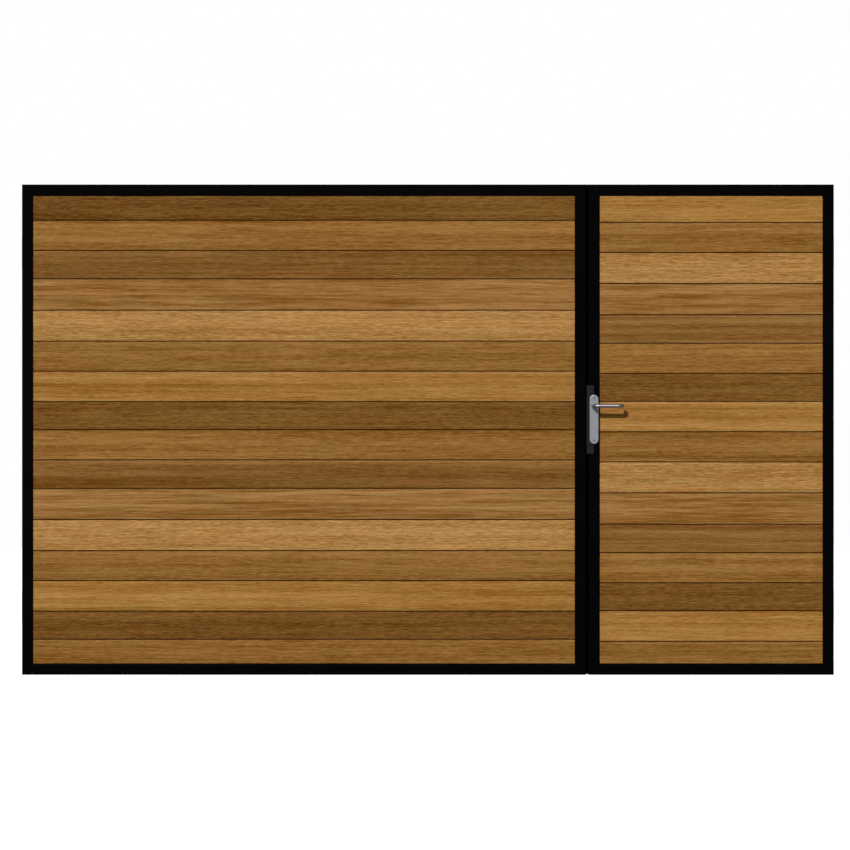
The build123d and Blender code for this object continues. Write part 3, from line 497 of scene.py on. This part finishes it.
def piece(name, mesh, material, body):
    """Turns a bmesh into a finished piece that rides on a body."""
    data = bpy.data.meshes.new(name)
    mesh.to_mesh(data)
    mesh.free()
    if stale := data.attributes.get("custom_normal"):
        data.attributes.remove(stale)
    data.polygons.foreach_set("use_smooth", [True] * len(data.polygons))
    data.set_sharp_from_angle(angle=SMOOTH_ANGLE)
    data.materials.append(material)
    made = bpy.data.objects.new(name, data)
    bpy.context.scene.collection.objects.link(made)
    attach(made, body)
    return made


print("corners nearer than", MERGE_DISTANCE / MM, "mm are merged")

# %% [markdown]
# ## Boards, one by one
# The CAD model keeps the boards in pairs. A maker picks them one at a time, so each becomes a piece with
# its own wood, split off where the faces don't touch. That keeps every tongue, groove and pilot hole. The
# long arrises of the front and the rear then get a small round with the bevel operator, because sawn edges
# are always broken with a pass of sandpaper, and it is this round that draws a line at each joint.

# %% Cutting the boards apart
ARRIS_ROUND = 0.6 * MM
LONG_EDGE = 0.3
FACE_SLACK = 0.1 * MM


def one_board(whole, group):
    """A copy of one board out of a pair, with the long arrises of its front and rear rounded."""
    keep = {vertex.index for vertex in group}
    board = whole.copy()
    others = [vertex for vertex in board.verts if vertex.index not in keep]
    bmesh.ops.delete(board, geom=others, context="VERTS")
    edge_middles = ((edge, sum(vertex.co.y for vertex in edge.verts) / 2) for edge in board.edges)
    arrises = [
        edge
        for edge, middle_y in edge_middles
        if edge.calc_length() > LONG_EDGE and min(middle_y - board_front, board_rear - middle_y) < FACE_SLACK
    ]
    bmesh.ops.bevel(
        board,
        geom=arrises,
        offset=ARRIS_ROUND,
        offset_type="OFFSET",
        segments=3,
        profile=0.5,
        affect="EDGES",
        material=-1,
    )
    bmesh.ops.dissolve_degenerate(board, dist=MERGE_DISTANCE, edges=board.edges)
    return board


def boards_of(leaf, body, order):
    """Every board of a leaf as its own piece, from the top down."""
    number = 0
    for node in sorted(name for name in frame["nodes"] if name.startswith(f"{leaf}_boards_")):
        whole = merged_copy(node)
        whole.verts.index_update()
        for group in islands(whole):
            tone = WOOD_TONES[order[number % len(order)]]
            number += 1
            made = piece(f"{leaf}_board_{number:02d}", one_board(whole, group), tone, body)
            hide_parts(node)
        whole.free()
    return number


print("wide boards:", boards_of("wide", "wide_leaf", WIDE_ORDER))
print("narrow boards:", boards_of("narrow", "narrow_leaf", NARROW_ORDER))

# %% [markdown]
# ## Screws with real heads
# The CAD model keeps each pan head as a plain disc. A pressed head has a domed rim and a socket for the
# driver, and both catch the light. The bevel operator rounds the rim, one inset marks the socket and a
# second one, pushed inwards, sinks it. Working on a merged copy keeps every screw where it was.

# %% Domed screw heads
DOME = 1.3 * MM
SOCKET_RIM = 0.9 * MM
SOCKET_DEPTH = 1.2 * MM
SOCKET_DRAFT = 0.05 * MM
SQUARE_ON = 0.99
ROUND_CORNERS = 8


def round_ends(mesh):
    """The round faces that look towards the garden: the ends of the screw heads."""
    return [face for face in mesh.faces if face.normal.y > SQUARE_ON and len(face.verts) > ROUND_CORNERS]


def domed_screws(node, body):
    """The screws of a node, with rounded heads and sunk sockets."""
    mesh = merged_copy(node)
    rims = [edge for face in round_ends(mesh) for edge in face.edges]
    bmesh.ops.bevel(
        mesh,
        geom=rims,
        offset=DOME,
        offset_type="OFFSET",
        segments=4,
        profile=0.5,
        affect="EDGES",
        material=-1,
    )
    ends = round_ends(mesh)
    bmesh.ops.inset_individual(mesh, faces=ends, thickness=SOCKET_RIM)
    bmesh.ops.inset_individual(mesh, faces=ends, thickness=SOCKET_DRAFT, depth=-SOCKET_DEPTH)
    made = piece(f"{node}_domed", mesh, SLOT_FINISHES[slot_of[node]], body)
    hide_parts(node)
    return len(ends)


print("wide screws:", domed_screws("wide_board_screws", "wide_leaf"))
print("narrow screws:", domed_screws("narrow_board_screws", "narrow_leaf"))

# %% [markdown]
# ## Welds
# The mitred corners are ground flush before coating, but nobody grinds the inside of a gate. Where the
# uprights meet the rails, where the stops are tacked to the frame and where the lugs meet their plates,
# short beads stay under the paint. Each bead is a sphere drawn out along its joint and half sunk in it,
# and its ripples are too small for geometry, so they are left to the finish.

# %% One bead
BEAD_RADIUS = 2.2 * MM
BEAD_SUNK = 0.4 * MM

weld_finish = Finish("welds_under_black_coat", Specular_IOR_Level=0.10)
ripples = noise(weld_finish, (650.0, 650.0, 650.0))
weld_coat = weld_finish.done(
    Base_Color=mix(weld_finish, ripples, (0.0005, 0.0005, 0.0005), (0.0012, 0.0012, 0.0012)),
    Roughness=0.42 + ripples * 0.1,
    Normal=bump(weld_finish, ripples, 0.6 * MM, 0.8),
)


def bead(mesh, middle, direction, length):
    """One weld bead: a sphere stretched along its joint."""
    turn = Vector(direction).to_track_quat("Z", "Y").to_matrix().to_4x4()
    stretch = Matrix.Diagonal((BEAD_RADIUS, BEAD_RADIUS, length / 2, 1))
    place = Matrix.Translation(middle) @ turn @ stretch
    bmesh.ops.create_uvsphere(mesh, u_segments=12, v_segments=16, radius=1.0, matrix=place)


print("bead width:", round(2 * BEAD_RADIUS / MM, 1), "mm")

# %% Welds on the backs of the leaves
TACK_LENGTH = 26 * MM
TACK_SPACING = 0.42
UPRIGHT_WIDTH = 30 * MM


def leaf_welds(leaf, body, upright_middles):
    """Tacks up both side stops, and a bead across each end of each upright."""
    low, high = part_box(f"{leaf}_board_stops")
    weld_y = leaf_rear - BEAD_SUNK
    count = round((high.z - low.z) / TACK_SPACING)
    mesh = bmesh.new()
    for tack in range(count):
        height = low.z + (high.z - low.z) * (tack + 0.5) / count
        for edge_x in (low.x, high.x):
            bead(mesh, (edge_x, weld_y, height), (0, 0, 1), TACK_LENGTH)
    for middle_x in upright_middles:
        for height in (low.z, high.z):
            bead(mesh, (middle_x, weld_y, height), (1, 0, 0), TACK_LENGTH)
    piece(f"{leaf}_leaf_welds", mesh, weld_coat, body)
    return 2 * count + 2 * len(upright_middles)


upright_low, upright_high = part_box("wide_uprights")
upright_middles = (upright_low.x + UPRIGHT_WIDTH / 2, upright_high.x - UPRIGHT_WIDTH / 2)
print("wide leaf:", leaf_welds("wide", "wide_leaf", upright_middles), "beads")
print("narrow leaf:", leaf_welds("narrow", "narrow_leaf", ()), "beads")

# %% Welds on the hinge brackets
BRACKET_PLATE = 6 * MM
LUG_OUTER = 28 * MM
LUG_WELD_LENGTH = 20 * MM


def lug_welds(node, inward):
    """The beads between a bracket's plate and the outer faces of its two lugs."""
    low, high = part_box(node)
    root_x = low.x + BRACKET_PLATE if inward > 0 else high.x - BRACKET_PLATE
    middle_z = (low.z + high.z) / 2
    mesh = bmesh.new()
    for height in (middle_z + LUG_OUTER, middle_z - LUG_OUTER):
        bead(mesh, (root_x, pin_y, height), (0, 1, 0), LUG_WELD_LENGTH)
    piece(f"{node}_welds", mesh, weld_coat, "post_side")


for side, inward in (("wide", 1), ("narrow", -1)):
    for level in ("lower", "upper"):
        lug_welds(f"{side}_{level}_bracket", inward)
print("four brackets welded")

# %% [markdown]
# ## Floor
# The gate hangs from its piers a hand's breadth above the ground. The floor is a wide pale disc. It glows
# only for the eye, so that it meets the white backdrop without an edge and yet throws little light up at
# the black frame. It isn't part of the object.

# %% Floor
GROUND_CLEARANCE = 50 * MM
FLOOR_RADIUS = 30.0
FLOOR_GLOW = 0.93

floor_mesh = bmesh.new()
bmesh.ops.create_circle(floor_mesh, cap_ends=True, segments=96, radius=FLOOR_RADIUS)
floor_middle = Vector((gate_middle.x, gate_middle.y, leaf_low - GROUND_CLEARANCE))
bmesh.ops.translate(floor_mesh, verts=floor_mesh.verts, vec=floor_middle)
floor_data = bpy.data.meshes.new("floor")
floor_mesh.to_mesh(floor_data)
floor_mesh.free()

pale = Finish("pale_floor", Emission_Strength=FLOOR_GLOW, Roughness=0.9, Specular_IOR_Level=0.0)
speckle = noise(pale, (40.0, 40.0, 40.0), 3.0)
seen = pale.node("ShaderNodeLightPath")
floor_data.materials.append(
    pale.done(
        Base_Color=mix(pale, speckle, (0.26, 0.26, 0.26), (0.30, 0.30, 0.30)),
        Emission_Color=mix(pale, seen, (0.0, 0.0, 0.0), (1.0, 1.0, 1.0)),
    )
)
floor = bpy.data.objects.new("floor", floor_data)
bpy.context.scene.collection.objects.link(floor)
print("floor at", round(floor_middle.z, 3), "m")
